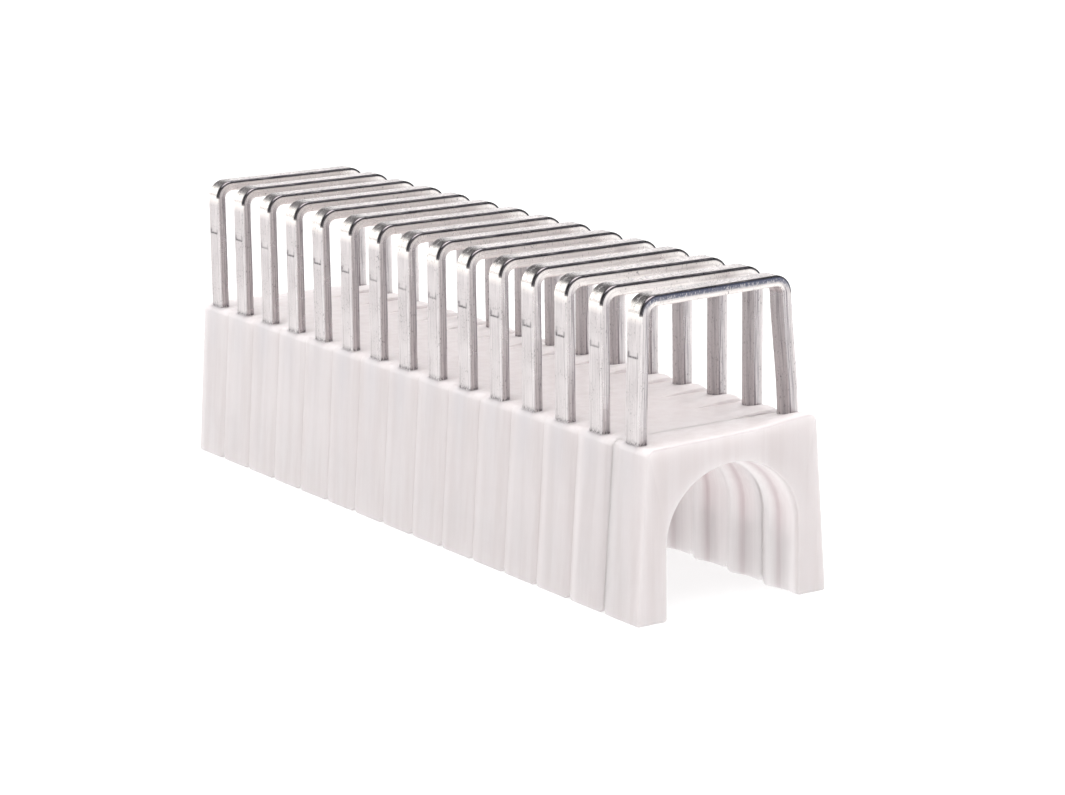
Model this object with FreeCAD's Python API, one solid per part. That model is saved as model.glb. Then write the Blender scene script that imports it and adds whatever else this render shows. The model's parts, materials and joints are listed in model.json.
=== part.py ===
import FreeCAD, Part
import math
import os

# Strip of insulated cable staples: fifteen arched plastic saddles moulded in a
# row, thin shear webs between them, one flat-wire staple part driven in each.
# Millimetres. +X runs along the strip to the end that is used first, +Z is up,
# and the origin is the middle of the strip on the plane of the saddle feet.
# One saddle, one web and one staple are made with the rear joint plane at x = 0
# and then repeated along the strip.

# strip
COUNT = 15
PITCH = 2.54
JOINT_GAP = 0.06

# saddle section, seen along the strip
FOOT_HALF = 4.90
DRAFT_DEG = 3.9
SADDLE_TOP = 7.40
TOP_CORNER_R = 0.36
ARCH_HALF = 3.40
ARCH_HEIGHT = 6.28
ARCH_SPRING = 3.20
END_EDGE_R = 0.10

# scalloped inside of the arch: a rounded rib runs round it beside each staple
RIB_X = 0.83
RIB_DEPTH = 0.26
SHOULDER_REACH = 0.60
SHOULDER_DEPTH = 0.08

# raised lip on the right shoulder, ahead of the leg
LIP_RISE = 0.28
LIP_SINK = 0.08
LIP_PEAK_X = 2.05
LIP_STATIONS = ((1.30, 0.0), (3.50, 1.0), (3.92, 0.8), (4.24, -0.4))

# staple
LEG_X = 1.05
STAPLE_HALF = 4.20
WIRE_THICK = 0.48
WIRE_WIDE = 0.95
WIRE_EDGE_R = 0.09
BEND_OUTER_R = 0.85
CROWN_TOP = 13.60
TIP_Z = 0.35
POINT_LENGTH = 0.95
POINT_FLAT = 0.16

# shallow tool mark on the outside of each leg
MARK_Z = 11.20
MARK_WIDE = 0.60
MARK_HIGH = 0.34
MARK_DEEP = 0.03

# slot that holds a leg
SLOT_CLEAR = 0.02

# shear web
WEB_INSET = 0.11

# how far cutting tools run past the material
OVERCUT = 1.0

SADDLE_REAR = JOINT_GAP / 2
SADDLE_FRONT = PITCH - JOINT_GAP / 2
SADDLE_LENGTH = SADDLE_FRONT - SADDLE_REAR
STRIP_REAR = -COUNT * PITCH / 2
SIDE_SLOPE = math.tan(math.radians(DRAFT_DEG))
ARCH_RISE = ARCH_HEIGHT - ARCH_SPRING
LEG_REAR = LEG_X - WIRE_WIDE / 2
LEG_FRONT = LEG_X + WIRE_WIDE / 2
LEG_INNER = STAPLE_HALF - WIRE_THICK


def vec(x, y, z):
    return FreeCAD.Vector(x, y, z)


def closed_face(points):
    return Part.Face(Part.makePolygon(points + [points[0]]))


def saddle_section(x, inset, bottom):
    """Drafted outside of a saddle at station x."""
    top_z = SADDLE_TOP - inset
    foot = FOOT_HALF - inset - bottom * SIDE_SLOPE
    top = FOOT_HALF - inset - top_z * SIDE_SLOPE
    return closed_face([
        vec(x, -foot, bottom),
        vec(x, foot, bottom),
        vec(x, top, top_z),
        vec(x, -top, top_z),
    ])


def arch_wire(x, shrink):
    """Arch opening at station x: straight cheeks under half an ellipse."""
    half = ARCH_HALF - shrink
    right = vec(x, half, ARCH_SPRING)
    crown = vec(x, 0, ARCH_SPRING + ARCH_RISE - shrink)
    ellipse = Part.Ellipse(right, crown, vec(x, 0, ARCH_SPRING))
    bow = Part.Arc(ellipse, 0.0, math.pi).toShape()
    cheeks = Part.makePolygon([
        vec(x, -half, ARCH_SPRING),
        vec(x, -half, -OVERCUT),
        vec(x, half, -OVERCUT),
        right,
    ])
    return Part.Wire([bow] + cheeks.Edges)


def arch_cutter():
    """Opening through one saddle, pinched to a rounded rib beside the staple."""
    stations = (
        (-JOINT_GAP, 0.0),
        (RIB_X - SHOULDER_REACH, SHOULDER_DEPTH),
        (RIB_X, RIB_DEPTH),
        (RIB_X + SHOULDER_REACH, SHOULDER_DEPTH),
        (PITCH - JOINT_GAP, 0.0),
        (PITCH + JOINT_GAP, 0.0),
    )
    return Part.makeLoft([arch_wire(x, shrink) for x, shrink in stations], True, False)


def leg_slot(side):
    """Through slot for one leg, side -1 for the left and +1 for the right."""
    half_x = WIRE_WIDE / 2 + SLOT_CLEAR
    thick = WIRE_THICK + 2 * SLOT_CLEAR
    middle_y = side * (STAPLE_HALF - WIRE_THICK / 2)
    corner = vec(LEG_X - half_x, middle_y - thick / 2, -OVERCUT)
    return Part.makeBox(2 * half_x, thick, SADDLE_TOP + 2 * OVERCUT, corner)


def lip_wire(y, rise):
    """Side view of the lip at one station across the saddle."""
    base = SADDLE_TOP - TOP_CORNER_R
    rear = vec(LEG_REAR, y, SADDLE_TOP - LIP_SINK)
    peak = vec(LIP_PEAK_X, y, SADDLE_TOP + rise)
    front = vec(SADDLE_FRONT, y, SADDLE_TOP - LIP_SINK + rise / 2)
    crest = Part.Arc(rear, peak, front).toShape()
    under = Part.makePolygon([
        front,
        vec(SADDLE_FRONT, y, base),
        vec(LEG_REAR, y, base),
        rear,
    ])
    return Part.Wire([crest] + under.Edges)


def shoulder_lip():
    """Low mound on the right shoulder, fading to nothing towards the middle."""
    wires = [lip_wire(y, share * LIP_RISE) for y, share in LIP_STATIONS]
    return Part.makeLoft(wires, True, True)


def make_saddle():
    block = saddle_section(SADDLE_REAR, 0.0, 0.0).extrude(vec(SADDLE_LENGTH, 0, 0))
    shoulders = [
        edge for edge in block.Edges
        if edge.BoundBox.XLength > SADDLE_LENGTH / 2 and edge.BoundBox.ZMin > SADDLE_TOP / 2
    ]
    block = block.makeFillet(TOP_CORNER_R, shoulders)
    ends = [edge for edge in block.Edges if edge.BoundBox.XLength < END_EDGE_R]
    block = block.makeFillet(END_EDGE_R, ends)
    block = block.fuse(shoulder_lip())
    block = block.cut(arch_cutter())
    for side in (-1, 1):
        block = block.cut(leg_slot(side))
    return block.Solids[0]


def make_web():
    """Web in the gap ahead of a saddle, a little short of the outside and flush in the arch."""
    plate = saddle_section(SADDLE_FRONT, WEB_INSET, WEB_INSET).extrude(vec(JOINT_GAP, 0, 0))
    opening = Part.Face(arch_wire(SADDLE_FRONT - OVERCUT, 0.0))
    return plate.cut(opening.extrude(vec(2 * OVERCUT, 0, 0))).Solids[0]


def bend(half, top, radius, side):
    """Start, middle and end of one bend, from the leg to the crown."""
    centre_y = half - radius
    centre_z = top - radius
    mid = radius * math.sqrt(0.5)
    return [
        vec(LEG_REAR, side * half, centre_z),
        vec(LEG_REAR, side * (centre_y + mid), centre_z + mid),
        vec(LEG_REAR, side * centre_y, top),
    ]


def staple_face():
    """The bent wire seen along the strip: an upside-down U with round bends."""
    under = CROWN_TOP - WIRE_THICK
    inner_r = BEND_OUTER_R - WIRE_THICK
    out_left = bend(STAPLE_HALF, CROWN_TOP, BEND_OUTER_R, -1)
    out_right = bend(STAPLE_HALF, CROWN_TOP, BEND_OUTER_R, 1)
    in_left = bend(LEG_INNER, under, inner_r, -1)
    in_right = bend(LEG_INNER, under, inner_r, 1)
    tips = [
        vec(LEG_REAR, -STAPLE_HALF, TIP_Z),
        vec(LEG_REAR, -LEG_INNER, TIP_Z),
        vec(LEG_REAR, LEG_INNER, TIP_Z),
        vec(LEG_REAR, STAPLE_HALF, TIP_Z),
    ]
    return Part.Face(Part.Wire([
        Part.makeLine(tips[0], out_left[0]),
        Part.Arc(*out_left).toShape(),
        Part.makeLine(out_left[2], out_right[2]),
        Part.Arc(*reversed(out_right)).toShape(),
        Part.makeLine(out_right[0], tips[3]),
        Part.makeLine(tips[3], tips[2]),
        Part.makeLine(tips[2], in_right[0]),
        Part.Arc(*in_right).toShape(),
        Part.makeLine(in_right[2], in_left[2]),
        Part.Arc(*reversed(in_left)).toShape(),
        Part.makeLine(in_left[0], tips[1]),
        Part.makeLine(tips[1], tips[0]),
    ]))


def point_cutter(side):
    """Wedge that bevels both tips on the front (+1) or the rear (-1) face."""
    edge_x = LEG_X + side * POINT_FLAT / 2
    face_x = LEG_X + side * WIRE_WIDE / 2
    past_x = LEG_X + side * (WIRE_WIDE / 2 + OVERCUT)
    start_y = -STAPLE_HALF - OVERCUT
    wedge = closed_face([
        vec(past_x, start_y, TIP_Z - OVERCUT),
        vec(edge_x, start_y, TIP_Z - OVERCUT),
        vec(edge_x, start_y, TIP_Z),
        vec(face_x, start_y, TIP_Z + POINT_LENGTH),
        vec(past_x, start_y, TIP_Z + POINT_LENGTH),
    ])
    return wedge.extrude(vec(0, -2 * start_y, 0))


def tool_mark(side):
    """Shallow pocket on the outside of one leg."""
    corner = vec(LEG_X - MARK_WIDE / 2, side * STAPLE_HALF - MARK_DEEP, MARK_Z - MARK_HIGH / 2)
    return Part.makeBox(MARK_WIDE, 2 * MARK_DEEP, MARK_HIGH, corner)


def make_staple():
    wire = staple_face().extrude(vec(WIRE_WIDE, 0, 0))
    rims = [
        edge for edge in wire.Edges
        if edge.BoundBox.XLength < WIRE_EDGE_R and edge.BoundBox.ZMax > TIP_Z + POINT_LENGTH
    ]
    wire = wire.makeFillet(WIRE_EDGE_R, rims)
    for side in (-1, 1):
        wire = wire.cut(point_cutter(side))
        wire = wire.cut(tool_mark(side))
    return wire.Solids[0]


def write_row(shape, name, count):
    """Repeat one piece along the strip, a file for each."""
    for index in range(count):
        copy = shape.translated(vec(STRIP_REAR + index * PITCH, 0, 0))
        copy.exportStep(os.path.join("parts", "%s_%02d.step" % (name, index + 1)))


os.makedirs("parts", exist_ok=True)
write_row(make_saddle(), "saddle", COUNT)
write_row(make_staple(), "staple", COUNT)
write_row(make_web(), "web", COUNT - 1)
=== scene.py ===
import bpy
import json
import math
import random
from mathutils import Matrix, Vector, noise


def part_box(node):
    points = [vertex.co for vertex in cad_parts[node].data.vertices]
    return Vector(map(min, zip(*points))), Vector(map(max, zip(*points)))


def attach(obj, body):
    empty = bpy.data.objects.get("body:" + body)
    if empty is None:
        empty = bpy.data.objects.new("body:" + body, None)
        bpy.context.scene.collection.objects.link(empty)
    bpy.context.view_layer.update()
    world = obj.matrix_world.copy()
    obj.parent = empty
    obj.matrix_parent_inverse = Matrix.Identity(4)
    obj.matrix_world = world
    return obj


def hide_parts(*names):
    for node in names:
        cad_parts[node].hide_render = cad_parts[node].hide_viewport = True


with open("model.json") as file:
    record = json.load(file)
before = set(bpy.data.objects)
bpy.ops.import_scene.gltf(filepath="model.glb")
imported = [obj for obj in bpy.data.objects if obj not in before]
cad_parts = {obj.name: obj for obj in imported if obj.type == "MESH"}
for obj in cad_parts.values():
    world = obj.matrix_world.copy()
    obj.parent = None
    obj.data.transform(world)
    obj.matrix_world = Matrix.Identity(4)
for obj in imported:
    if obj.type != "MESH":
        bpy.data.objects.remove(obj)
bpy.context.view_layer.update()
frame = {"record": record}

mm = 0.001
bodies = frame["record"]["behaviour"]["bodies"]
bodyOf = {node: body for body, nodes in bodies.items() for node in nodes}
saddleNames = sorted(n for n in bodyOf if n.startswith("saddle_"))
stapleNames = sorted(n for n in bodyOf if n.startswith("staple_"))
webNames = sorted(n for n in bodyOf if n.startswith("web_"))


def smooth(low, high, value):
    t = min(max((value - low) / (high - low), 0.0), 1.0)
    return t * t * (3 - 2 * t)


def hump(value, middle, reach):
    return math.exp(-((value - middle) / reach) ** 2)


class NodeDesk:
    # a small bench for wiring one material
    def __init__(self, name):
        self.material = bpy.data.materials.new(name)
        self.material.use_nodes = True
        self.tree = self.material.node_tree
        self.tree.nodes.clear()
        output = self.tree.nodes.new("ShaderNodeOutputMaterial")
        self.shader = self.tree.nodes.new("ShaderNodeBsdfPrincipled")
        self.join(self.shader.outputs[0], output.inputs[0])

    def join(self, source, target):
        self.tree.links.new(source, target)

    def feed(self, socket, value):
        if isinstance(value, bpy.types.NodeSocket):
            self.join(value, socket)
        else:
            socket.default_value = value

    def coords(self, kind):
        return self.tree.nodes.new("ShaderNodeTexCoord").outputs[kind]

    def mapped(self, source, scale):
        node = self.tree.nodes.new("ShaderNodeMapping")
        self.join(source, node.inputs["Vector"])
        node.inputs["Scale"].default_value = scale
        return node.outputs[0]

    def noise(self, source, scale, detail, rough=0.5):
        node = self.tree.nodes.new("ShaderNodeTexNoise")
        self.join(source, node.inputs["Vector"])
        node.inputs["Scale"].default_value = scale
        node.inputs["Detail"].default_value = detail
        node.inputs["Roughness"].default_value = rough
        return node.outputs[0]

    def ramp(self, source, low, high, fromValue=0.0, toValue=1.0):
        node = self.tree.nodes.new("ShaderNodeMapRange")
        node.interpolation_type = "SMOOTHSTEP"
        self.join(source, node.inputs["Value"])
        node.inputs["From Min"].default_value = low
        node.inputs["From Max"].default_value = high
        node.inputs["To Min"].default_value = fromValue
        node.inputs["To Max"].default_value = toValue
        return node.outputs[0]

    def math(self, operation, first, second):
        node = self.tree.nodes.new("ShaderNodeMath")
        node.operation = operation
        self.feed(node.inputs[0], first)
        self.feed(node.inputs[1], second)
        return node.outputs[0]

    def times(self, first, second):
        return self.math("MULTIPLY", first, second)

    def mix(self, amount, first, second, blend="MIX"):
        node = self.tree.nodes.new("ShaderNodeMix")
        node.data_type = "RGBA"
        node.blend_type = blend
        self.feed(node.inputs["Factor"], amount)
        self.feed(node.inputs["A"], first)
        self.feed(node.inputs["B"], second)
        return node.outputs["Result"]

    def painted(self, name):
        node = self.tree.nodes.new("ShaderNodeAttribute")
        node.attribute_name = name
        return node.outputs["Fac"]

    def bump(self, height, strength, depthMm, under=None):
        node = self.tree.nodes.new("ShaderNodeBump")
        node.inputs["Strength"].default_value = strength
        node.inputs["Distance"].default_value = depthMm * mm
        self.join(height, node.inputs["Height"])
        if under is not None:
            self.join(under, node.inputs["Normal"])
        return node.outputs[0]


plasticLook = {
    "milk": (0.643, 0.598, 0.600, 1),
    "warm": (0.603, 0.552, 0.551, 1),
    "glint": (0.72, 0.688, 0.688, 1),
    "paintedLight": (0.99, 0.947, 0.947, 1),
    "paintedShade": (0.76, 0.71, 0.72, 1),
    "wireShade": (0.575, 0.555, 0.58, 1),
    "slotShadow": (0.30, 0.27, 0.30, 1),
    "streakSize": (1.9, 1.9, 0.10),      # long upright streaks, per millimetre
    "threadSize": (7.5, 7.5, 0.30),
    "cloudSize": 0.33,
    "cloudShare": 0.45,
    "threadShare": 0.25,
    "roughness": (0.30, 0.46),
    "roughSize": 2.2,
    "grainSize": 11.0,
    "streakBump": (0.30, 0.06),          # strength, depth in millimetres
    "threadBump": (0.18, 0.03),
    "grainBump": (0.12, 0.02),
    "ior": 1.49,
    "scatterWeight": 0.6,
    "scatterMm": (1.5, 1.5, 1.5),
}


def makeMilkyPlastic():
    look = plasticLook
    desk = NodeDesk("milkyPlastic")
    place = desk.mapped(desk.coords("Object"), (1 / mm, 1 / mm, 1 / mm))
    flow = desk.noise(desk.mapped(place, look["streakSize"]), 1.0, 4.0, 0.55)
    fine = desk.noise(desk.mapped(place, look["threadSize"]), 1.0, 3.0, 0.6)
    cloud = desk.noise(place, look["cloudSize"], 2.0)
    colour = desk.mix(desk.ramp(flow, 0.36, 0.68), look["milk"], look["warm"])
    colour = desk.mix(desk.ramp(cloud, 0.40, 0.75, 0.0, look["cloudShare"]), colour, look["warm"])
    colour = desk.mix(desk.ramp(fine, 0.55, 0.80, 0.0, look["threadShare"]), colour, look["glint"])
    # painted light: inside of the arch, end faces, top face and far saddles made paler
    inside = desk.times(desk.painted("paintedLight"), desk.ramp(fine, 0.30, 0.70, 1.0, 0.86))
    colour = desk.mix(inside, colour, look["paintedLight"])
    # painted shade in the arch valleys, in dark upright bands on the side and on the front top rim
    colour = desk.mix(desk.painted("paintedShade"), colour, desk.mix(1.0, colour, look["paintedShade"], "MULTIPLY"))
    shade = desk.times(desk.painted("wireShade"), desk.ramp(cloud, 0.25, 0.8, 0.35, 1.0))
    colour = desk.mix(shade, colour, look["wireShade"])
    # painted shadow round each leg where it goes into the top
    colour = desk.mix(desk.painted("slotShadow"), colour, look["slotShadow"])
    desk.join(colour, desk.shader.inputs["Base Color"])
    rough = desk.ramp(desk.noise(place, look["roughSize"], 3.0), 0.3, 0.7, *look["roughness"])
    desk.join(rough, desk.shader.inputs["Roughness"])
    desk.shader.inputs["IOR"].default_value = look["ior"]
    desk.shader.inputs["Subsurface Weight"].default_value = look["scatterWeight"]
    desk.shader.inputs["Subsurface Radius"].default_value = look["scatterMm"]
    desk.shader.inputs["Subsurface Scale"].default_value = mm
    skin = desk.bump(flow, *look["streakBump"])
    skin = desk.bump(fine, *look["threadBump"], skin)
    skin = desk.bump(desk.noise(place, look["grainSize"], 3.0), *look["grainBump"], skin)
    desk.join(skin, desk.shader.inputs["Normal"])
    return desk.material


wireLook = {
    "zinc": (0.67, 0.63, 0.63, 1),
    "dull": (0.46, 0.425, 0.43, 1),
    "hairline": (0.80, 0.77, 0.77, 1),
    "crown": (0.95, 0.90, 0.895, 1),
    "glint": (0.97, 0.915, 0.875, 1),
    "bendDark": (0.20, 0.175, 0.18, 1),
    "groove": (0.20, 0.18, 0.20, 1),
    # near black: dark specks and tool marks, and painted dark reflection and shadow
    "sootAndShade": (0.022, 0.020, 0.028, 1),
    "bluishDarkReflection": (0.09, 0.10, 0.15, 1),
    "drawnSize": (0.35, 13.0, 1),        # lines along the run of the wire
    "hairSize": (0.9, 42.0, 1),
    "speckSize": 15.0,
    "patchSize": 0.9,
    "grainSize": 7.5,
    "hairShare": 0.35,
    "pitShare": (0.08, 0.7),
    "insideDarker": 0.35,
    "insidePits": 0.45,
    "crownPits": 0.55,
    "roughness": (0.40, 0.54),
    "polish": 0.26,
    "drawnBump": (0.25, 0.02),           # strength, depth in millimetres
    "hairBump": (0.15, 0.01),
    "speckBump": (0.35, 0.014),
}


def makeDrawnZinc():
    look = wireLook
    desk = NodeDesk("drawnZinc")
    run = desk.coords("UV")
    place = desk.mapped(desk.coords("Object"), (1 / mm, 1 / mm, 1 / mm))
    pulled = desk.noise(desk.mapped(run, look["drawnSize"]), 1.0, 4.0, 0.6)
    hair = desk.noise(desk.mapped(run, look["hairSize"]), 1.0, 3.0, 0.6)
    speck = desk.noise(desk.mapped(place, (1, 1, 0.55)), look["speckSize"], 3.0, 0.65)
    patch = desk.noise(place, look["patchSize"], 3.0, 0.55)
    grain = desk.noise(place, look["grainSize"], 2.0, 0.6)

    def laid(colour, name, over, noiseShare):
        # one painted mask, broken up by a noise, mixed in over the colour
        return desk.mix(desk.times(desk.painted(name), noiseShare), colour, look[over])

    colour = desk.mix(desk.ramp(pulled, 0.42, 0.72), look["zinc"], look["dull"])
    colour = desk.mix(desk.ramp(hair, 0.50, 0.85, 0.0, look["hairShare"]), colour, look["hairline"])
    # painted light: the crown's top face made paler
    colour = laid(colour, "crownTop", "crown", desk.ramp(grain, 0.38, 0.56))
    colour = desk.mix(desk.painted("bendGlint"), colour, look["glint"])
    # inner faces of the legs made darker, with more dark specks
    colour = laid(colour, "inside", "dull", look["insideDarker"])
    colour = laid(colour, "crownTop", "bendDark", desk.ramp(grain, 0.60, 0.70, 0.0, look["crownPits"]))
    insidePits = desk.times(desk.painted("inside"), look["insidePits"])
    where = desk.math("MAXIMUM", desk.ramp(patch, 0.42, 0.66, *look["pitShare"]), insidePits)
    colour = desk.mix(desk.times(desk.ramp(speck, 0.58, 0.68), where), colour, look["sootAndShade"])
    colour = laid(colour, "groove", "groove", desk.ramp(pulled, 0.38, 0.62, 0.2, 1.0))
    # painted dark reflection along the front outer edge and round the bends
    colour = laid(colour, "edgeDarkReflection", "sootAndShade", desk.ramp(hair, 0.25, 0.55, 0.65, 1.0))
    # painted dark reflection over the upper half of the crown's front face
    colour = laid(colour, "frontBand", "bluishDarkReflection", desk.ramp(speck, 0.30, 0.52, 0.35, 1.0))
    colour = laid(colour, "bendShade", "bendDark", desk.ramp(speck, 0.3, 0.6, 0.7, 1.0))
    colour = laid(colour, "markLine", "sootAndShade", desk.ramp(speck, 0.36, 0.56, 0.45, 1.0))
    # painted shadow on the legs where they go into the plastic
    colour = laid(colour, "footShadow", "sootAndShade", desk.ramp(speck, 0.38, 0.56))
    desk.join(colour, desk.shader.inputs["Base Color"])
    desk.shader.inputs["Metallic"].default_value = 1.0
    dullness = desk.ramp(patch, 0.3, 0.7, *look["roughness"])
    polish = desk.times(desk.painted("polish"), look["polish"])
    desk.join(desk.math("SUBTRACT", dullness, polish), desk.shader.inputs["Roughness"])
    skin = desk.bump(pulled, *look["drawnBump"])
    skin = desk.bump(hair, *look["hairBump"], skin)
    skin = desk.bump(speck, *look["speckBump"], skin)
    desk.join(skin, desk.shader.inputs["Normal"])
    return desk.material


milkyPlastic = makeMilkyPlastic()
drawnZinc = makeDrawnZinc()
print("finishes ready: milky plastic, drawn zinc wire")


sharpAngle = math.radians(38)


def meshPiece(name, points, faces, material, paints, uvs=None):
    mesh = bpy.data.meshes.new(name)
    mesh.from_pydata([Vector(p) * mm for p in points], [], faces)
    for label, values in paints.items():
        layer = mesh.attributes.new(label, "FLOAT", "POINT")
        layer.data.foreach_set("value", values)
    if uvs:
        layer = mesh.uv_layers.new(name="wireRun")
        for loop in mesh.loops:
            layer.data[loop.index].uv = uvs[loop.vertex_index]
    mesh.materials.append(material)
    piece = bpy.data.objects.new(name, mesh)
    bpy.context.scene.collection.objects.link(piece)
    for face in mesh.polygons:
        face.use_smooth = True
    mesh.set_sharp_from_angle(angle=sharpAngle)
    flatFaces = piece.modifiers.new("flatFaces", "WEIGHTED_NORMAL")
    flatFaces.keep_sharp = True
    return piece


# millimetres; x runs along one saddle from its rear joint, y to the right, z up from the soles
saddleShape = {
    "footHalf": 4.90,
    "sideSlope": math.tan(math.radians(3.9)),
    "top": 7.40,
    "cornerRound": 0.36,
    "cornerEase": 1.02,
    "footRound": 0.10,
    "pitch": 2.54,
    "jointReach": 0.34,      # how far the rounding at a joint runs, and how deep it is
    "jointDepth": 0.05,
    "endReach": 0.16,
    "endDepth": 0.12,
    "soleNotch": 0.26,       # small notch in the sole at each joint
    "notchBehind": 0.34,
    "notchAhead": 0.10,
    "archHalf": 3.40,
    "archSpring": 3.20,
    "archRise": 3.08,
    "ribAt": 0.60,           # round rib inside the arch
    "ribDepth": 0.26,
    "ribReach": 0.42,
    "legAt": 1.05,
    "legHalfWide": 0.475,
    "legHalfThick": 0.24,
    "legMiddleY": 3.96,
    "slotClear": 0.03,
    "slotRoof": 2.4,
    "slotWall": 0.004,       # the slot's sides lean by this much
    "slotStep": 0.01,
    "lipRise": 0.22,         # raised lip on the right shoulder
    "lipAt": 2.05,
    "lipReach": 0.76,
    "jointSink": 0.008,
    "pocket": 0.06,          # dimple ahead of the left leg
    "ripple": 0.012,
    "crestShare": 0.15,
    "frontRise": 0.28,
    "flute": 0.032,
    "footPoints": 4,
    "sidePoints": 26,
    "cornerPoints": 7,
    "topPoints": 46,
    "cheekPoints": 24,
    "middleSteps": 18,
}

saddlePaint = {
    "banding": 0.20,         # painted light and painted shade in upright bands on the side
    "lightAt": 0.30,
    "darkAt": 2.26,
    "faceLight": 0.10,
    "farLight": 0.04,
    "topLight": 0.07,
    "archLight": 0.92,
    "valleyAt": 1.17,
    "valleyReach": 0.22,
    "valleyDark": 0.9,
    "rimDark": 0.9,
    "wireReach": 0.62,
    "slotShadow": 0.5,
    "slotShadowReach": 0.03,
    "endFade": 0.5,
}


def arcPoints(centre, radius, start, end, count):
    steps = [start + (end - start) * k / (count - 1) for k in range(count)]
    return [(centre[0] + radius * math.cos(a), centre[1] + radius * math.sin(a)) for a in steps]


def linePoints(first, last, count):
    # points between the two ends, which are left out
    shares = [k / (count + 1) for k in range(1, count + 1)]
    return [(first[0] + (last[0] - first[0]) * t, first[1] + (last[1] - first[1]) * t) for t in shares]


def mirrored(path):
    return [(-y, z) for y, z in reversed(path)]


def saddleOuter(inset, low, crest):
    # outer outline of a saddle, from the left foot over the top to the right foot
    s = saddleShape
    high = s["top"] - crest
    lean = math.atan(s["sideSlope"])
    foot = s["footHalf"] - inset - low * s["sideSlope"]
    head = s["footHalf"] - inset - high * s["sideSlope"]
    footRound = s["footRound"]
    headRound = s["cornerRound"] - 0.5 * inset
    footCentre = (-foot + footRound, low + footRound)
    side = arcPoints(footCentre, footRound, -math.pi / 2, -math.pi - lean, s["footPoints"])
    headCentre = (-head + headRound * s["cornerEase"], high - headRound)
    corner = arcPoints(headCentre, headRound, math.pi - lean, math.pi / 2, s["cornerPoints"])
    side += linePoints(side[-1], corner[0], s["sidePoints"]) + corner
    return side + linePoints(side[-1], (-side[-1][0], high), s["topPoints"]) + mirrored(side)


def saddleInner(shrink, low, count):
    # outline of the arch, left foot to right foot, as many points as the outer outline has
    s = saddleShape
    half = s["archHalf"] - shrink
    rise = s["archRise"] - shrink
    centre = (-half - s["footRound"], low + s["footRound"])
    cheek = arcPoints(centre, s["footRound"], -math.pi / 2, 0, s["footPoints"])
    bowCount = count - 2 * (s["footPoints"] + s["cheekPoints"])
    turns = [math.pi * k / (bowCount - 1) for k in range(bowCount)]
    bow = [(-half * math.cos(a), s["archSpring"] + rise * math.sin(a)) for a in turns]
    cheek += linePoints(cheek[-1], bow[0], s["cheekPoints"])
    return cheek + bow + mirrored(cheek)


def saddleStations(start, rearReach, frontReach, length):
    # where the sections stand: close in the rounded ends and beside the leg slots
    s = saddleShape
    angles = [math.radians(a) for a in range(0, 91, 18)]
    rear = [start + rearReach * (1 - math.cos(a)) for a in angles]
    front = [length - frontReach * (1 - math.cos(a)) for a in reversed(angles)]
    steps = s["middleSteps"]
    middle = [rear[-1] + (front[0] - rear[-1]) * k / steps for k in range(1, steps)]
    reach = s["legHalfWide"] + s["slotClear"]
    sides = [s["legAt"] + way * (reach + step) for way in (-1, 1) for step in (0.0, s["slotStep"])]
    middle = [x for x in middle if min(abs(x - side) for side in sides) > 3 * s["slotStep"]]
    return rear + sorted(middle + sides) + front


def edgeFall(distance, reach):
    # 1 on the end plane, falling to 0 at `reach`, round like a quarter ellipse
    if distance >= reach:
        return 0.0
    return 1 - math.sqrt(max(1 - ((reach - distance) / reach) ** 2, 0.0))


def ribAt(x, isFront):
    # the ribs of the neighbours reach over the joint as well
    s = saddleShape
    neighbours = (-1, 0) if isFront else (-1, 0, 1)
    return s["ribDepth"] * sum(hump(x, s["ribAt"] + k * s["pitch"], s["ribReach"]) for k in neighbours)


def topHeight(x, y, seed):
    # height of the top face over its plain level
    s = saddleShape
    lipAcross = smooth(1.1, 3.7, y) * (1 - smooth(4.0, 4.4, y) * 0.5)
    lip = s["lipRise"] * lipAcross * hump(x, s["lipAt"], s["lipReach"])
    sink = s["jointSink"] * (hump(x, 0.0, 0.40) + hump(x, s["pitch"], 0.25))
    pocket = s["pocket"] * hump(x, s["legAt"] + 0.62, 0.20) * hump(y, -s["legMiddleY"], 0.40)
    ripple = s["ripple"] * noise.noise(Vector((x * 0.9, y * 0.8, seed * 7.3)))
    return lip - sink - pocket + ripple - s["ripple"]


def paintOutside(x, y, z, banding):
    # wire showing through, a painted shadow round each leg's slot, and painted light and shade in
    # upright bands on the side
    s, p = saddleShape, saddlePaint
    legNear = hump(x, s["legAt"], p["wireReach"]) * smooth(0.3, 1.0, z)
    shade = legNear * smooth(0.0, 0.5, abs(y) - 3.6) * (0.15 + 0.45 * smooth(4.0, 7.2, z))
    if z < s["top"] - 0.3:
        return shade, 0.0, banding * hump(x, p["lightAt"], 0.22), banding * hump(x, p["darkAt"], 0.24)
    # on the top face: a painted shadow round the leg's slot, and painted light over the face
    gapX = max(abs(x - s["legAt"]) - s["legHalfWide"], 0)
    gapY = max(abs(abs(y) - s["legMiddleY"]) - s["legHalfThick"], 0)
    return shade, p["slotShadow"] * math.exp(-math.hypot(gapX, gapY) / p["slotShadowReach"]), p["topLight"], 0.0


def paintArch(x):
    # painted light on the ribs inside the arch, painted shade in its valleys
    p = saddlePaint
    ridge = hump(x, saddleShape["ribAt"] - 0.05, 0.34)
    tail = 0.35 * smooth(0.9, 1.2, x) * smooth(2.3, 1.3, x)
    paintedShade = max(hump(x, p["valleyAt"], p["valleyReach"]), tail)
    return p["archLight"] + (1 - p["archLight"]) * ridge, p["valleyDark"] * paintedShade * (1 - ridge)


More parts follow.
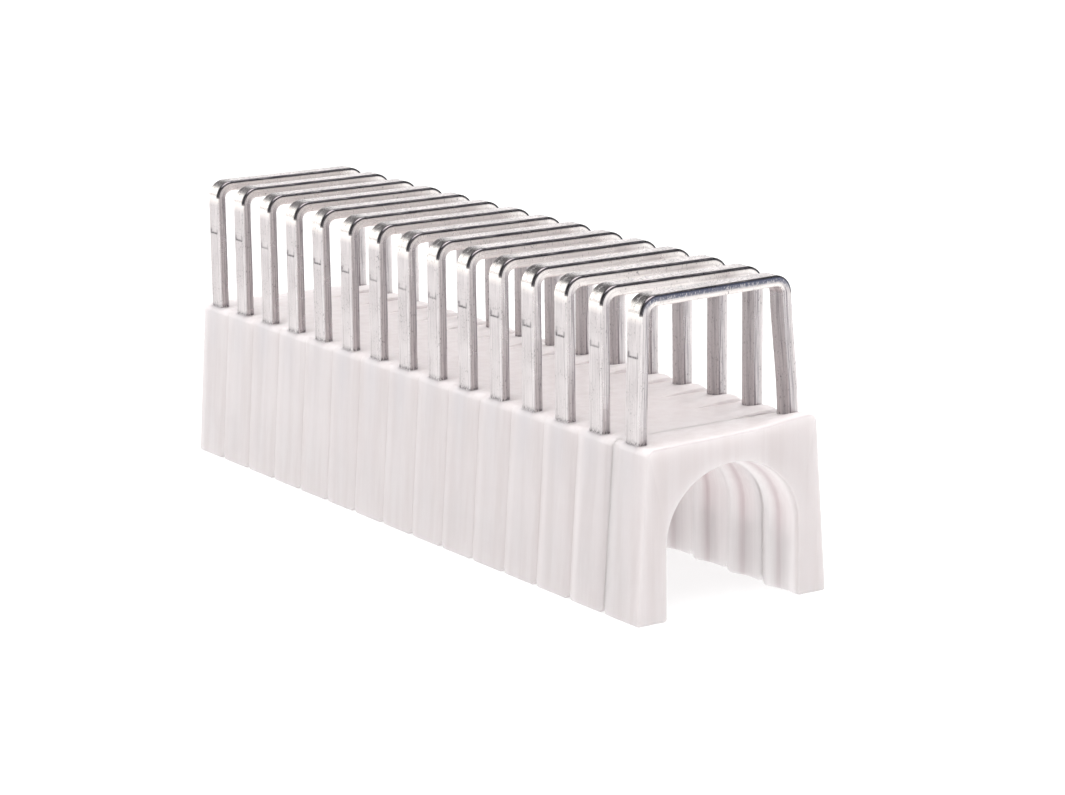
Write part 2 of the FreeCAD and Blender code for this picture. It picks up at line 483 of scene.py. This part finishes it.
def shapePoint(x, y, z, seed):
    # lips, dimples and moulding waves on the outside of a saddle
    s = saddleShape
    lift = smooth(s["top"] - 0.55, s["top"] - 0.05, z)
    z += lift * topHeight(x, y, seed)
    side = (1 - lift) * (1 if y > 0 else -1) * smooth(0.0, 0.2, abs(y) - 3.9)
    wave = noise.noise(Vector((x * 2.3 + seed, z * 0.16, 3.0 if y > 0 else 9.0)))
    return y - side * s["flute"] * (0.5 + 0.5 * wave), z


def slotPoints(sideY, sole, roof, inward):
    # the sole's edge beside a slot and the slot's roof above it; inward leans the wall
    return [(sideY + inward, roof), (sideY, sole)]


def saddleRings(index, rearEnd, frontEnd):
    # cross-section rings of one saddle, each a list of (x, y, z, paints...)
    s, p = saddleShape, saddlePaint
    joint = stripRear + index * s["pitch"]
    openRear, openFront = rearEnd is not None, frontEnd is not None
    start = rearEnd - joint if openRear else 0.0
    length = frontEnd - joint if openFront else s["pitch"]
    endSize, jointSize = (s["endReach"], s["endDepth"]), (s["jointReach"], s["jointDepth"])
    rearReach, rearDepth = endSize if openRear else jointSize
    frontReach, frontDepth = endSize if openFront else jointSize
    seed = random.Random(40 + index).uniform(0, 50)
    outerCount = len(saddleOuter(0.0, 0.0, 0.0))
    towardFront = 0.25 + 0.75 * smooth(9, 13, index)
    banding = p["banding"] * towardFront * random.Random(7 + index).uniform(0.5, 1.3)
    farLight = p["farLight"] * smooth(11, 3, index)
    rise = s["frontRise"] if openFront else 0.0
    halfSlot = s["legHalfThick"] + s["slotClear"]
    outerSide, innerSide = s["legMiddleY"] + halfSlot, s["legMiddleY"] - halfSlot
    wall = s["slotWall"]
    rings = []
    for x in saddleStations(start, rearReach, frontReach, length):
        rearFall = edgeFall(x - start, rearReach)
        frontFall = edgeFall(length - x, frontReach)
        inset = rearFall * rearDepth + frontFall * frontDepth
        openEnds = frontFall * openFront + rearFall * openRear
        notch = 0.0 if openFront else max(1 - (length - x) / s["notchBehind"], 0.0)
        notch += 0.0 if openRear else max(1 - (x - start) / s["notchAhead"], 0.0)
        sole = inset * openEnds + s["soleNotch"] * notch
        crest = inset * max(openEnds, s["crestShare"])
        fromFront = smooth(0.0, p["endFade"], length - x) if openFront else 1.0
        fromRear = smooth(0.0, p["endFade"], x - start) if openRear else 1.0
        fromEnd = min(fromFront, fromRear)
        rib = ribAt(x, openFront) - 0.4 * openEnds * inset
        faceLight = p["faceLight"] * (1 - fromEnd)
        # each foot has a slot that the leg slides down and out of
        inSlot = abs(x - s["legAt"]) < s["legHalfWide"] + s["slotClear"] + s["slotStep"] / 2
        roof = s["slotRoof"] if inSlot else sole + wall
        leftOuter = slotPoints(-outerSide, sole, roof, wall)
        leftInner = slotPoints(-innerSide, sole, roof, -wall)
        unpainted = (0.0, 0.0, 0.0, 0.0)
        ring = [(joint + x, y, z) + unpainted for y, z in leftOuter]
        for y, z in saddleOuter(inset, sole, crest):
            yNow, zNow = shapePoint(x, y, z, seed)
            across = 0.5 + yNow / (2 * s["footHalf"])
            lifted = zNow + rise * across * smooth(0, s["top"], z) * x / length
            wireShade, slotShadow, light, paintedShade = paintOutside(x, y, z, banding)
            # painted shade on the front top rim
            if 0 < length - x < s["endReach"]:
                rim = openEnds * smooth(s["top"] - 0.45, s["top"] - 0.15, z)
                paintedShade = max(paintedShade, p["rimDark"] * rim)
            # painted light on the end faces and on the far saddles
            light += faceLight + farLight
            ring.append((joint + x, yNow, lifted, wireShade, slotShadow, light, paintedShade))
        rightFoot = mirrored(leftOuter) + mirrored(leftInner)[::-1]
        ring += [(joint + x, y, z) + unpainted for y, z in rightFoot]
        archLight, archValley = paintArch(x)
        # painted light on the arch ribs, painted shade in its valleys
        inside = (0.0, 0.0, archLight * fromEnd + faceLight, archValley * fromEnd)
        ring += [(joint + x, y, z) + inside for y, z in reversed(saddleInner(rib, sole, outerCount))]
        ring += [(joint + x, y, z) + unpainted for y, z in reversed(leftInner)]
        rings.append(ring)
    return rings


def buildMoulding(name, indices, nodes, body):
    ends = (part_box(saddleNames[0])[0][0] / mm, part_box(saddleNames[-1])[1][0] / mm)
    rings = []
    for index in indices:
        rearEnd = ends[0] if index == 0 else None
        frontEnd = ends[1] if index == lastSaddle else None
        fresh = saddleRings(index, rearEnd, frontEnd)
        rings += fresh[1:] if rings else fresh   # neighbours share the ring in their joint
    size = len(rings[0])
    half = size // 2
    faces = []
    for row in range(len(rings) - 1):
        for k in range(size):
            a = row * size + k
            b = row * size + (k + 1) % size
            faces.append((a, b, b + size, a + size))
    for row, flip in ((0, False), (len(rings) - 1, True)):
        base = row * size
        for k in range(half - 1):
            quad = (base + k, base + size - 1 - k, base + size - 2 - k, base + k + 1)
            faces.append(tuple(reversed(quad)) if flip else quad)
    flat = [point for ring in rings for point in ring]
    labels = ("wireShade", "slotShadow", "paintedLight", "paintedShade")
    paints = {label: [point[3 + k] for point in flat] for k, label in enumerate(labels)}
    piece = meshPiece(name, [point[:3] for point in flat], faces, milkyPlastic, paints)
    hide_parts(*nodes)
    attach(piece, body)


stripRear = -len(saddleNames) * saddleShape["pitch"] / 2
lastSaddle = len(saddleNames) - 1
restOfStrip = saddleNames[:-1] + webNames
buildMoulding("saddleMoulding", range(lastSaddle), restOfStrip, bodyOf[saddleNames[0]])
buildMoulding("frontSaddle", [lastSaddle], saddleNames[-1:], bodyOf[saddleNames[-1]])
print("saddles shaped:", len(saddleNames))


# millimetres; a ring of the wire is set by `along` the strip and `out` from the wire's middle
stapleShape = {
    "half": 4.20,
    "thick": 0.48,
    "wide": 0.95,
    "edgeRound": 0.09,
    "edgeStep": 0.03,        # gap between a rounded edge and its next point
    "bendRound": 0.85,
    "bendSteps": 20,
    "crownSteps": 30,
    "crown": 13.60,
    "crownClear": 0.001,
    "tip": 0.35,
    "tipSteps": (0, 0.2, 0.5, 0.75, 0.95),
    "pointLength": 0.95,
    "pointFlat": 0.16,
    "markZ": 11.20,          # small tool mark outside each leg
    "markWide": 0.60,
    "markHigh": 0.34,
    "markDeep": 0.025,
    "plasticTop": 7.40,
    "sway": 0.035,
    "swing": 0.35,
    "droop": 0.03,
    "wobble": 0.010,
    "skinIn": 0.006,
    "skinWave": 0.004,
    "frontTwist": 3.6,
    "frontPullIn": 0.34,
    # sections along a leg: up to this z, in steps of this size
    "legSteps": ((6.9, 0.5), (8.0, 0.10), (10.9, 0.36), (11.5, 0.04), (12.4, 0.22)),
}

# degrees: tilt is 0 on the crown and 90 on a leg,
# and corner angles run from the front face (0) to the outer face (90)
wirePaint = {
    "edgePolish": 0.6,
    "edgeDarkReflection": 0.97,
    "reflectFrom": (-24, -2),
    "reflectTo": (116, 96),
    "reflectEnds": (84, 90),
    "crescent": (50, 34),
    "frontBand": 0.95,
    "otherBand": 0.12,
    "crownFade": (60, 30),
    "bendShade": 0.78,
    "shadeHump": (25, 13),
    "bendFace": (38, 52),
    "stepLine": 0.5,
    "brightBand": 0.9,
    "backGlint": 0.5,
    "highLine": 0.35,
    "tick": 0.8,
    "footShadow": 0.9,
    "legGroove": 0.8,
    "faceGroove": 0.6,
    "innerStreak": 0.75,
    "crownGroove": 0.35,
}


def wireSection():
    # rounded flat wire as (along, out), starting in the middle of the outer face
    s = stapleShape
    a, b, r = s["wide"] / 2, s["thick"] / 2, s["edgeRound"]
    step = s["edgeStep"]
    outerHalf = [(a * share, b) for share in (0.33, 0.52, 0.62)] + [(a - r - step, b)]
    section = [(0.0, b)] + outerHalf + arcPoints((a - r, b - r), r, math.pi / 2, 0, 5)
    section += [(a, b - r - step), (a, 0.06), (a, 0.0), (a, -0.06)]
    section += arcPoints((a - r, -b + r), r, 0, -math.pi / 2, 5)
    section += [(a * 0.33, -b), (0.0, -b), (-a * 0.33, -b)]
    section += arcPoints((-a + r, -b + r), r, -math.pi / 2, -math.pi, 5)
    section += [(-a, -0.04), (-a, 0.04)]
    section += arcPoints((-a + r, b - r), r, math.pi, math.pi / 2, 5)
    return section + mirrored(outerHalf)


def wireRoute():
    # centre line of the wire: (y, z, outward angle, bend share)
    s = stapleShape
    midHalf = s["half"] - s["thick"] / 2
    midTop = s["crown"] - s["thick"] / 2
    radius = s["bendRound"] - s["thick"] / 2
    legTop = midTop - radius
    inner = midHalf - radius
    heights = [s["tip"] + rise for rise in s["tipSteps"]]
    for upTo, step in s["legSteps"]:
        count = max(round((upTo - heights[-1]) / step), 1)
        heights += [heights[-1] + (upTo - heights[-1]) * k / count for k in range(1, count + 1)]
    heights.append(legTop)
    turns = [(math.pi / 2) * k / s["bendSteps"] for k in range(1, s["bendSteps"] + 1)]
    route = [(-midHalf, z, math.pi, 0.0) for z in heights]
    for a in [math.pi - turn for turn in turns]:
        route.append((-inner + radius * math.cos(a), legTop + radius * math.sin(a), a, 1.0))
    for k in range(1, s["crownSteps"] + 1):
        route.append((-inner + 2 * inner * k / s["crownSteps"], midTop, math.pi / 2, 0.0))
    for a in [math.pi / 2 - turn for turn in turns]:
        route.append((inner + radius * math.cos(a), legTop + radius * math.sin(a), a, 1.0))
    return route + [(midHalf, z, 0.0, 0.0) for z in reversed(heights[:-1])]


def paintWire(along, out, z, outward, bend, onCrown, isFront, markFade, markDark):
    s, p = stapleShape, wirePaint
    halfWide, halfThick, edgeRound = s["wide"] / 2, s["thick"] / 2, s["edgeRound"]
    legTop = s["crown"] - s["bendRound"]
    tilt = abs(math.degrees(outward) - 90)
    outerFace = out > 0.15
    edge = smooth(halfWide - 0.16, halfWide - 0.05, abs(along))
    # painted reflection of the sky's dark belt: a black line along the front outer edge, swelling to a
    # crescent at the bends
    cornerAt = math.degrees(math.atan2(out - (halfThick - edgeRound), along - (halfWide - edgeRound)))
    nearCorner = edgeRound + 0.032
    onCorner = along > halfWide - nearCorner and out > halfThick - nearCorner
    reflectLine = onCorner * smooth(*p["reflectFrom"], cornerAt) * smooth(*p["reflectTo"], cornerAt)
    reflectLine *= 1 - smooth(*p["reflectEnds"], tilt)
    reflectCrescent = bend * hump(tilt, *p["crescent"]) * (along > 0.05)
    reflectCrescent *= smooth(halfWide - 0.22, halfWide - 0.05, along) * smooth(-10, 10, cornerAt)
    reflectCrescent *= out > halfThick - edgeRound - 0.001
    # painted dark reflection on the upper half of the crown's front face
    frontBand = smooth(halfWide - 0.03, halfWide, along) * smooth(-0.06, 0.02, out) * onCrown
    # painted highlights on the polished bends and under the crown's front edge
    stepLine = p["stepLine"] * hump(z, legTop - 0.06, 0.05) * (onCrown < 0.6)
    bendFace = outerFace * smooth(*p["bendFace"], tilt)
    bendFace *= (1 - smooth(legTop, legTop - 0.10, z)) * (1 - stepLine)
    brightBand = p["brightBand"] * onCrown * (along > halfWide - 0.02)
    brightBand *= hump(out, 0.09, 0.07) * (not isFront)
    # tool mark: a low line with a tick at each end
    markOff, low = z - s["markZ"], -s["markHigh"] / 2
    lowLine = hump(markOff, low, 0.034)
    highLine = p["highLine"] * hump(markOff, -low, 0.03) * markFade
    tick = p["tick"] * hump(abs(along), s["markWide"] / 2, 0.05)
    tick *= smooth(0.10, 0.0, markOff) * smooth(low - 0.04, low, markOff)
    reachIn = smooth(s["markWide"] / 2 + 0.08, s["markWide"] / 2, abs(along))
    # drawn grooves
    frontFace = along > halfWide - 0.04
    legGroove = p["legGroove"] * hump(along, halfWide - 0.02, 0.05) * (out < -0.02)
    legGroove += p["faceGroove"] * hump(out, 0.02, 0.05) * frontFace
    innerStreak = p["innerStreak"] * hump(along, 0.10, 0.12) * (out < -0.15)
    crownGroove = p["crownGroove"] * hump(out, -0.04, 0.035) * frontFace
    return {
        "polish": min(1.0, bend + p["edgePolish"] * edge),
        "edgeDarkReflection": p["edgeDarkReflection"] * max(reflectLine, reflectCrescent),
        "frontBand": frontBand * (p["frontBand"] if isFront else p["otherBand"]),
        # painted shadow just above the plastic's top
        "footShadow": p["footShadow"] * hump(z, s["plasticTop"] + 0.03, 0.06) * (1 - onCrown),
        "groove": (1 - onCrown) * max(legGroove, innerStreak) + onCrown * crownGroove,
        "bendShade": outerFace * p["bendShade"] * hump(tilt, *p["shadeHump"]),
        "bendGlint": max(bendFace, brightBand, p["backGlint"] * onCrown * (not outerFace)),
        # the crown's top face, painted paler and given dark pits
        "crownTop": onCrown * smooth(*p["crownFade"], tilt) * outerFace,
        "markLine": (out > 0.1) * max(lowLine * reachIn, highLine * reachIn, tick) * markDark,
        "inside": smooth(-halfThick + 0.08, -halfThick, out) * (1 - onCrown),
    }


def buildStaple(name, index):
    s = stapleShape
    low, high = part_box(name)
    middle = (low[0] + high[0]) / 2 / mm
    dice = random.Random(90 + index)
    seed = dice.uniform(0, 60)
    sway = dice.uniform(-s["sway"], s["sway"])
    swing = math.radians(dice.uniform(-s["swing"], s["swing"]))
    droop = dice.uniform(0.0, s["droop"])
    markFade = dice.uniform(0.0, 0.6)
    markDark = dice.choice((0.6, 0.9, 1.0, 1.0))
    pullIn = 0.0
    isFront = index == len(stapleNames) - 1
    if isFront:
        swing, pullIn = math.radians(s["frontTwist"]), s["frontPullIn"]
    section = wireSection()
    around = [0.0]
    for k in range(1, len(section)):
        around.append(around[-1] + math.dist(section[k], section[k - 1]))
    route = wireRoute()
    legTop = s["crown"] - s["bendRound"]
    flatShare = s["pointFlat"] / s["wide"]
    points, uvs, shades = [], [], []
    travelled = 0.0
    last = None
    for y, z, outward, bend in route:
        if last:
            travelled += math.dist((y, z), last)
        last = (y, z)
        narrow = flatShare + (1 - flatShare) * min((z - s["tip"]) / s["pointLength"], 1.0)
        lean = smooth(s["plasticTop"], s["crown"], z)
        onCrown = smooth(0.0, 1.0, (z - legTop) / (s["bendRound"] - s["thick"] / 2))
        wobble = s["wobble"] * noise.noise(Vector((travelled * 0.5, seed, 1.0)))
        twist = swing * (0.35 + 0.65 * lean)
        for k, (along, out) in enumerate(section):
            wave = noise.noise(Vector((travelled * 1.4, along * 3.0, seed)))
            outNow = out - s["skinIn"] + s["skinWave"] * wave
            if out > 0.1:
                inMark = max(abs(z - s["markZ"]) - s["markHigh"] / 2, abs(along) - s["markWide"] / 2)
                outNow -= s["markDeep"] * smooth(0.0, 0.04, -inMark)
            px = along * narrow
            py = y + outNow * math.cos(outward)
            pz = z + outNow * math.sin(outward) - droop * onCrown
            py -= pullIn * lean * (y + s["half"]) / (2 * s["half"])
            turned = px * math.cos(twist) - py * math.sin(twist)
            swung = px * math.sin(twist) + py * math.cos(twist)
            leaned = middle + turned + lean * sway + wobble * lean
            points.append((leaned, swung, min(pz, s["crown"] - s["crownClear"])))
            uvs.append((travelled, around[k]))
            shades.append(paintWire(along, out, z, outward, bend, onCrown, isFront, markFade, markDark))
    paints = {label: [shade[label] for shade in shades] for label in shades[0]}
    ringSize = len(section)
    faces = []
    for row in range(len(route) - 1):
        for k in range(ringSize):
            a = row * ringSize + k
            b = row * ringSize + (k + 1) % ringSize
            faces.append((a, a + ringSize, b + ringSize, b))
    faces.append(tuple(range(ringSize)))
    faces.append(tuple(reversed(range((len(route) - 1) * ringSize, len(route) * ringSize))))
    piece = meshPiece("flatWire_%02d" % (index + 1), points, faces, drawnZinc, paints, uvs)
    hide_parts(name)
    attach(piece, bodyOf[name])


for index, name in enumerate(stapleNames):
    buildStaple(name, index)
print("staples bent:", len(stapleNames))


# the floor glows a little, like paper on a light table
studio = {
    "floorHalf": 0.9,
    "floorColour": (0.36, 0.36, 0.36, 1),
    "floorRough": 0.9,
    "floorShine": 0.1,
    "floorGlow": 0.70,
    "horizon": 0.80,
    "belt": 0.22,
    "overhead": 5.8,
    "beltStarts": (0.36, 0.48),      # height in the sky, as the sine of the elevation
    "beltEnds": (0.80, 0.90),
    "boxSpot": (-0.28, -0.16, 0.14),
    "boxAim": (0, 0, 0.010),
    "boxSize": 0.17,
    "boxPower": 0.075,
}


def layFloor():
    half = studio["floorHalf"]
    mesh = bpy.data.meshes.new("paleFloor")
    corners = [(-half, -half, 0), (half, -half, 0), (half, half, 0), (-half, half, 0)]
    mesh.from_pydata(corners, [], [(0, 1, 2, 3)])
    desk = NodeDesk("palePaper")
    desk.shader.inputs["Base Color"].default_value = studio["floorColour"]
    desk.shader.inputs["Roughness"].default_value = studio["floorRough"]
    desk.shader.inputs["Specular IOR Level"].default_value = studio["floorShine"]
    desk.shader.inputs["Emission Color"].default_value = (1, 1, 1, 1)
    desk.shader.inputs["Emission Strength"].default_value = studio["floorGlow"]
    mesh.materials.append(desk.material)
    floor = bpy.data.objects.new("paleFloor", mesh)
    bpy.context.scene.collection.objects.link(floor)


def hangSky():
    # bright low down and straight overhead, with a darker belt between,
    # which gives the wire its dark edge lines
    world = bpy.data.worlds.new("studioTent")
    bpy.context.scene.world = world
    world.use_nodes = True
    tree = world.node_tree
    tree.nodes.clear()
    out = tree.nodes.new("ShaderNodeOutputWorld")
    back = tree.nodes.new("ShaderNodeBackground")
    tree.links.new(back.outputs[0], out.inputs[0])
    direction = tree.nodes.new("ShaderNodeTexCoord")
    split = tree.nodes.new("ShaderNodeSeparateXYZ")
    tree.links.new(direction.outputs["Generated"], split.inputs[0])
    ramp = tree.nodes.new("ShaderNodeValToRGB")
    tree.links.new(split.outputs["Z"], ramp.inputs[0])
    starts, ends = studio["beltStarts"], studio["beltEnds"]
    stops = ((0.0, studio["horizon"]), (starts[0], studio["horizon"]), (starts[1], studio["belt"]),
             (ends[0], studio["belt"]), (ends[1], studio["overhead"]))
    ramp.color_ramp.elements[0].position = stops[0][0]
    ramp.color_ramp.elements[1].position = stops[-1][0]
    for position, level in stops[1:-1]:
        ramp.color_ramp.elements.new(position)
    for element, (position, level) in zip(ramp.color_ramp.elements, stops):
        element.position = position
        element.color = (level, level, level, 1)
    tree.links.new(ramp.outputs[0], back.inputs[0])


def hangSoftbox():
    # behind and to the left, for the polish of the bends
    lamp = bpy.data.lights.new("rearBox", "AREA")
    lamp.shape = "SQUARE"
    lamp.size = studio["boxSize"]
    lamp.energy = studio["boxPower"]
    box = bpy.data.objects.new("rearBox", lamp)
    box.location = studio["boxSpot"]
    toward = Vector(studio["boxAim"]) - Vector(studio["boxSpot"])
    box.rotation_euler = toward.to_track_quat("-Z", "Y").to_euler()
    bpy.context.scene.collection.objects.link(box)


cameraSetup = {
    "azimuth": 56.71,
    "elevation": 12.91,
    "roll": -0.64,
    "aimMm": (-0.22, 0.0, 8.0),
    "slideMm": (-2.31, 2.473),
    "awayMm": 155.67,
    "lensMm": 115.0648,
    "sensorMm": 36.0,
    "nearest": 0.005,
}


def placeCamera():
    c = cameraSetup
    az, el, roll = (math.radians(c[k]) for k in ("azimuth", "elevation", "roll"))
    back = Vector((math.sin(az) * math.cos(el), -math.cos(az) * math.cos(el), math.sin(el)))
    level = Vector((math.cos(az), math.sin(az), 0))
    upright = back.cross(level)
    right = level * math.cos(roll) + upright * math.sin(roll)
    up = upright * math.cos(roll) - level * math.sin(roll)
    spot = Vector(c["aimMm"]) + back * c["awayMm"] - right * c["slideMm"][0] - up * c["slideMm"][1]
    camera = bpy.data.cameras.new("lens")
    camera.sensor_width = c["sensorMm"]
    camera.lens = c["lensMm"]
    camera.clip_start = c["nearest"]
    holder = bpy.data.objects.new("lens", camera)
    matrix = holder.matrix_world.copy()
    for row in range(3):
        matrix[row][0], matrix[row][1], matrix[row][2] = right[row], up[row], back[row]
        matrix[row][3] = spot[row] * mm
    holder.matrix_world = matrix
    bpy.context.scene.collection.objects.link(holder)
    bpy.context.scene.camera = holder


layFloor()
hangSky()
hangSoftbox()
placeCamera()
bpy.context.scene.view_settings.view_transform = "Standard"
bpy.context.scene.view_settings.look = "None"
print("floor, light and camera placed")
